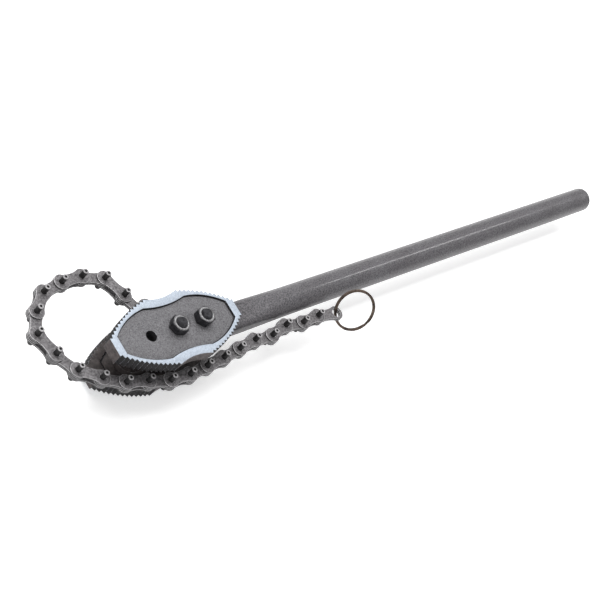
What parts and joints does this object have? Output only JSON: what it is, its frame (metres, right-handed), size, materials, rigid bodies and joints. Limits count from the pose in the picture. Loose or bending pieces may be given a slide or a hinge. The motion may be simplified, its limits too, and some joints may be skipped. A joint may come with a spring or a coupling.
{
  "type": "chain pipe wrench",
  "caption": "Chain pipe wrench with twin serrated jaw plates bolted to a long round handle, and a hinged flat-link chain ending in a split ring.",
  "frame": {"origin": "on the centre bolt's axis, at the flat outer face of its head, which is also the plane the jaws' side rests on", "axes": "+X along the handle away from the jaws, +Z along the bolts out of the near jaw's face, +Y across the handle towards the shackle's side"},
  "size_m": [0.9808, 0.1662, 0.0862],
  "materials": {
    "jaw_steel": "forged steel plate, ground rim over a dark cast-looking pocket, no lettering",
    "black_oxide_steel": "black oxide",
    "hammered_grey_paint": "dark grey hammered paint",
    "chain_steel": "heat-treated and oiled",
    "pin_steel": "dark turned steel",
    "spring_steel_wire": "bronze-brown tempered wire"
  },
  "bodies": {
    "wrench": {"near_jaw": "jaw_steel", "far_jaw": "jaw_steel", "handle": "hammered_grey_paint", "centre_bolt": "black_oxide_steel", "handle_bolt": "black_oxide_steel", "centre_nut": "black_oxide_steel", "handle_nut": "black_oxide_steel"},
    "shackle": {"shackle": "chain_steel", "shackle_pin": "pin_steel"},
    "chain_link_01": {"chain_link_01_inner": "chain_steel"},
    "chain_link_02": {"chain_link_02_near_plate": "chain_steel", "chain_link_02_pin_plate": "chain_steel"},
    "chain_link_03": {"chain_link_03_inner": "chain_steel"},
    "chain_link_04": {"chain_link_04_near_plate": "chain_steel", "chain_link_04_pin_plate": "chain_steel"},
    "chain_link_05": {"chain_link_05_inner": "chain_steel"},
    "chain_link_06": {"chain_link_06_near_plate": "chain_steel", "chain_link_06_pin_plate": "chain_steel"},
    "chain_link_07": {"chain_link_07_inner": "chain_steel"},
    "chain_link_08": {"chain_link_08_near_plate": "chain_steel", "chain_link_08_pin_plate": "chain_steel"},
    "chain_link_09": {"chain_link_09_inner": "chain_steel"},
    "chain_link_10": {"chain_link_10_near_plate": "chain_steel", "chain_link_10_pin_plate": "chain_steel"},
    "chain_link_11": {"chain_link_11_inner": "chain_steel"},
    "chain_link_12": {"chain_link_12_near_plate": "chain_steel", "chain_link_12_pin_plate": "chain_steel"},
    "chain_link_13": {"chain_link_13_inner": "chain_steel"},
    "chain_link_14": {"chain_link_14_near_plate": "chain_steel", "chain_link_14_pin_plate": "chain_steel"},
    "chain_link_15": {"chain_link_15_inner": "chain_steel"},
    "chain_link_16": {"chain_link_16_near_plate": "chain_steel", "chain_link_16_pin_plate": "chain_steel"},
    "chain_link_17": {"chain_link_17_inner": "chain_steel"},
    "chain_link_18": {"chain_link_18_near_plate": "chain_steel", "chain_link_18_pin_plate": "chain_steel"},
    "chain_link_19": {"chain_link_19_inner": "chain_steel"},
    "chain_link_20": {"chain_link_20_near_plate": "chain_steel", "chain_link_20_pin_plate": "chain_steel"},
    "chain_link_21": {"chain_link_21_inner": "chain_steel"},
    "chain_link_22": {"chain_link_22_near_plate": "chain_steel", "chain_link_22_pin_plate": "chain_steel"},
    "end_link": {"end_link": "chain_steel"},
    "split_ring": {"split_ring": "spring_steel_wire"}
  },
  "joints": [
    {"name": "shackle_swing", "type": "hinge", "parent": "wrench", "child": "shackle", "pos_m": [0, 0, 0.0406], "axis": [0, 0, 1], "range_deg": [-15, 0.3]},
    {"name": "chain_pin_00", "type": "hinge", "parent": "shackle", "child": "chain_link_01", "pos_m": [-0.00397, 0.03779, 0.0406], "axis": [0, 0, 1], "range_deg": [-15, 0.3]},
    {"name": "chain_pin_01", "type": "hinge", "parent": "chain_link_01", "child": "chain_link_02", "pos_m": [-0.01452, 0.06265, 0.0406], "axis": [0, 0, 1], "range_deg": [-20, 0]},
    {"name": "chain_pin_02", "type": "hinge", "parent": "chain_link_02", "child": "chain_link_03", "pos_m": [-0.02593, 0.08712, 0.0406], "axis": [0, 0, 1], "range_deg": [-40, 0]},
    {"name": "chain_pin_03", "type": "hinge", "parent": "chain_link_03", "child": "chain_link_04", "pos_m": [-0.0513, 0.09635, 0.0406], "axis": [0, 0, 1], "range_deg": [-40, 0]},
    {"name": "chain_pin_04", "type": "hinge", "parent": "chain_link_04", "child": "chain_link_05", "pos_m": [-0.0783, 0.09635, 0.0406], "axis": [0, 0, 1], "range_deg": [-40, 0]},
    {"name": "chain_pin_05", "type": "hinge", "parent": "chain_link_05", "child": "chain_link_06", "pos_m": [-0.10481, 0.0912, 0.0406], "axis": [0, 0, 1], "range_deg": [-25, 0]},
    {"name": "chain_pin_06", "type": "hinge", "parent": "chain_link_06", "child": "chain_link_07", "pos_m": [-0.12487, 0.07313, 0.0406], "axis": [0, 0, 1], "range_deg": [-25, 0]},
    {"name": "chain_pin_07", "type": "hinge", "parent": "chain_link_07", "child": "chain_link_08", "pos_m": [-0.13837, 0.04975, 0.0406], "axis": [0, 0, 1], "range_deg": [-25, 0]},
    {"name": "chain_pin_08", "type": "hinge", "parent": "chain_link_08", "child": "chain_link_09", "pos_m": [-0.13048, 0.02393, 0.0406], "axis": [0, 0, 1], "range_deg": [-25, 0]},
    {"name": "chain_pin_09", "type": "hinge", "parent": "chain_link_09", "child": "chain_link_10", "pos_m": [-0.11698, 0.00055, 0.0406], "axis": [0, 0, 1], "range_deg": [-25, 0]},
    {"name": "chain_pin_10", "type": "hinge", "parent": "chain_link_10", "child": "chain_link_11", "pos_m": [-0.09514, -0.01532, 0.0406], "axis": [0, 0, 1], "range_deg": [-25, 0]},
    {"name": "chain_pin_11", "type": "hinge", "parent": "chain_link_11", "child": "chain_link_12", "pos_m": [-0.07152, -0.02841, 0.0406], "axis": [0, 0, 1], "range_deg": [-25, 0]},
    {"name": "chain_pin_12", "type": "hinge", "parent": "chain_link_12", "child": "chain_link_13", "pos_m": [-0.04532, -0.03495, 0.0406], "axis": [0, 0, 1], "range_deg": [-25, 0]},
    {"name": "chain_pin_13", "type": "hinge", "parent": "chain_link_13", "child": "chain_link_14", "pos_m": [-0.01937, -0.04239, 0.0406], "axis": [0, 0, 1], "range_deg": [-25, 0]},
    {"name": "chain_pin_14", "type": "hinge", "parent": "chain_link_14", "child": "chain_link_15", "pos_m": [0.00759, -0.0438, 0.0406], "axis": [0, 0, 1], "range_deg": [-25, 0]},
    {"name": "chain_pin_15", "type": "hinge", "parent": "chain_link_15", "child": "chain_link_16", "pos_m": [0.03449, -0.04145, 0.0406], "axis": [0, 0, 1], "range_deg": [-25, 0]},
    {"name": "chain_pin_16", "type": "hinge", "parent": "chain_link_16", "child": "chain_link_17", "pos_m": [0.06139, -0.03909, 0.0406], "axis": [0, 0, 1], "range_deg": [-20, 0]},
    {"name": "chain_pin_17", "type": "hinge", "parent": "chain_link_17", "child": "chain_link_18", "pos_m": [0.08819, -0.0358, 0.0406], "axis": [0, 0, 1], "range_deg": [-20, 0]},
    {"name": "chain_pin_18", "type": "hinge", "parent": "chain_link_18", "child": "chain_link_19", "pos_m": [0.11499, -0.03251, 0.0406], "axis": [0, 0, 1], "range_deg": [-20, 0]},
    {"name": "chain_pin_19", "type": "hinge", "parent": "chain_link_19", "child": "chain_link_20", "pos_m": [0.14192, -0.0344, 0.0406], "axis": [0, 0, 1], "range_deg": [-20, 0]},
    {"name": "chain_pin_20", "type": "hinge", "parent": "chain_link_20", "child": "chain_link_21", "pos_m": [0.16833, -0.02878, 0.0406], "axis": [0, 0, 1], "range_deg": [-20, 0]},
    {"name": "chain_pin_21", "type": "hinge", "parent": "chain_link_21", "child": "chain_link_22", "pos_m": [0.19507, -0.03254, 0.0406], "axis": [0, 0, 1], "range_deg": [-20, 0]},
    {"name": "chain_pin_22", "type": "hinge", "parent": "chain_link_22", "child": "end_link", "pos_m": [0.22203, -0.03113, 0.0406], "axis": [0, 0, 1], "range_deg": [-20, 0]},
    {"name": "ring_swing", "type": "hinge", "parent": "end_link", "child": "split_ring", "pos_m": [0.2528, -0.03491, 0.0406], "axis": [0.0805, -0.674, -0.7343], "range_deg": [-30, 90]}
  ]
}
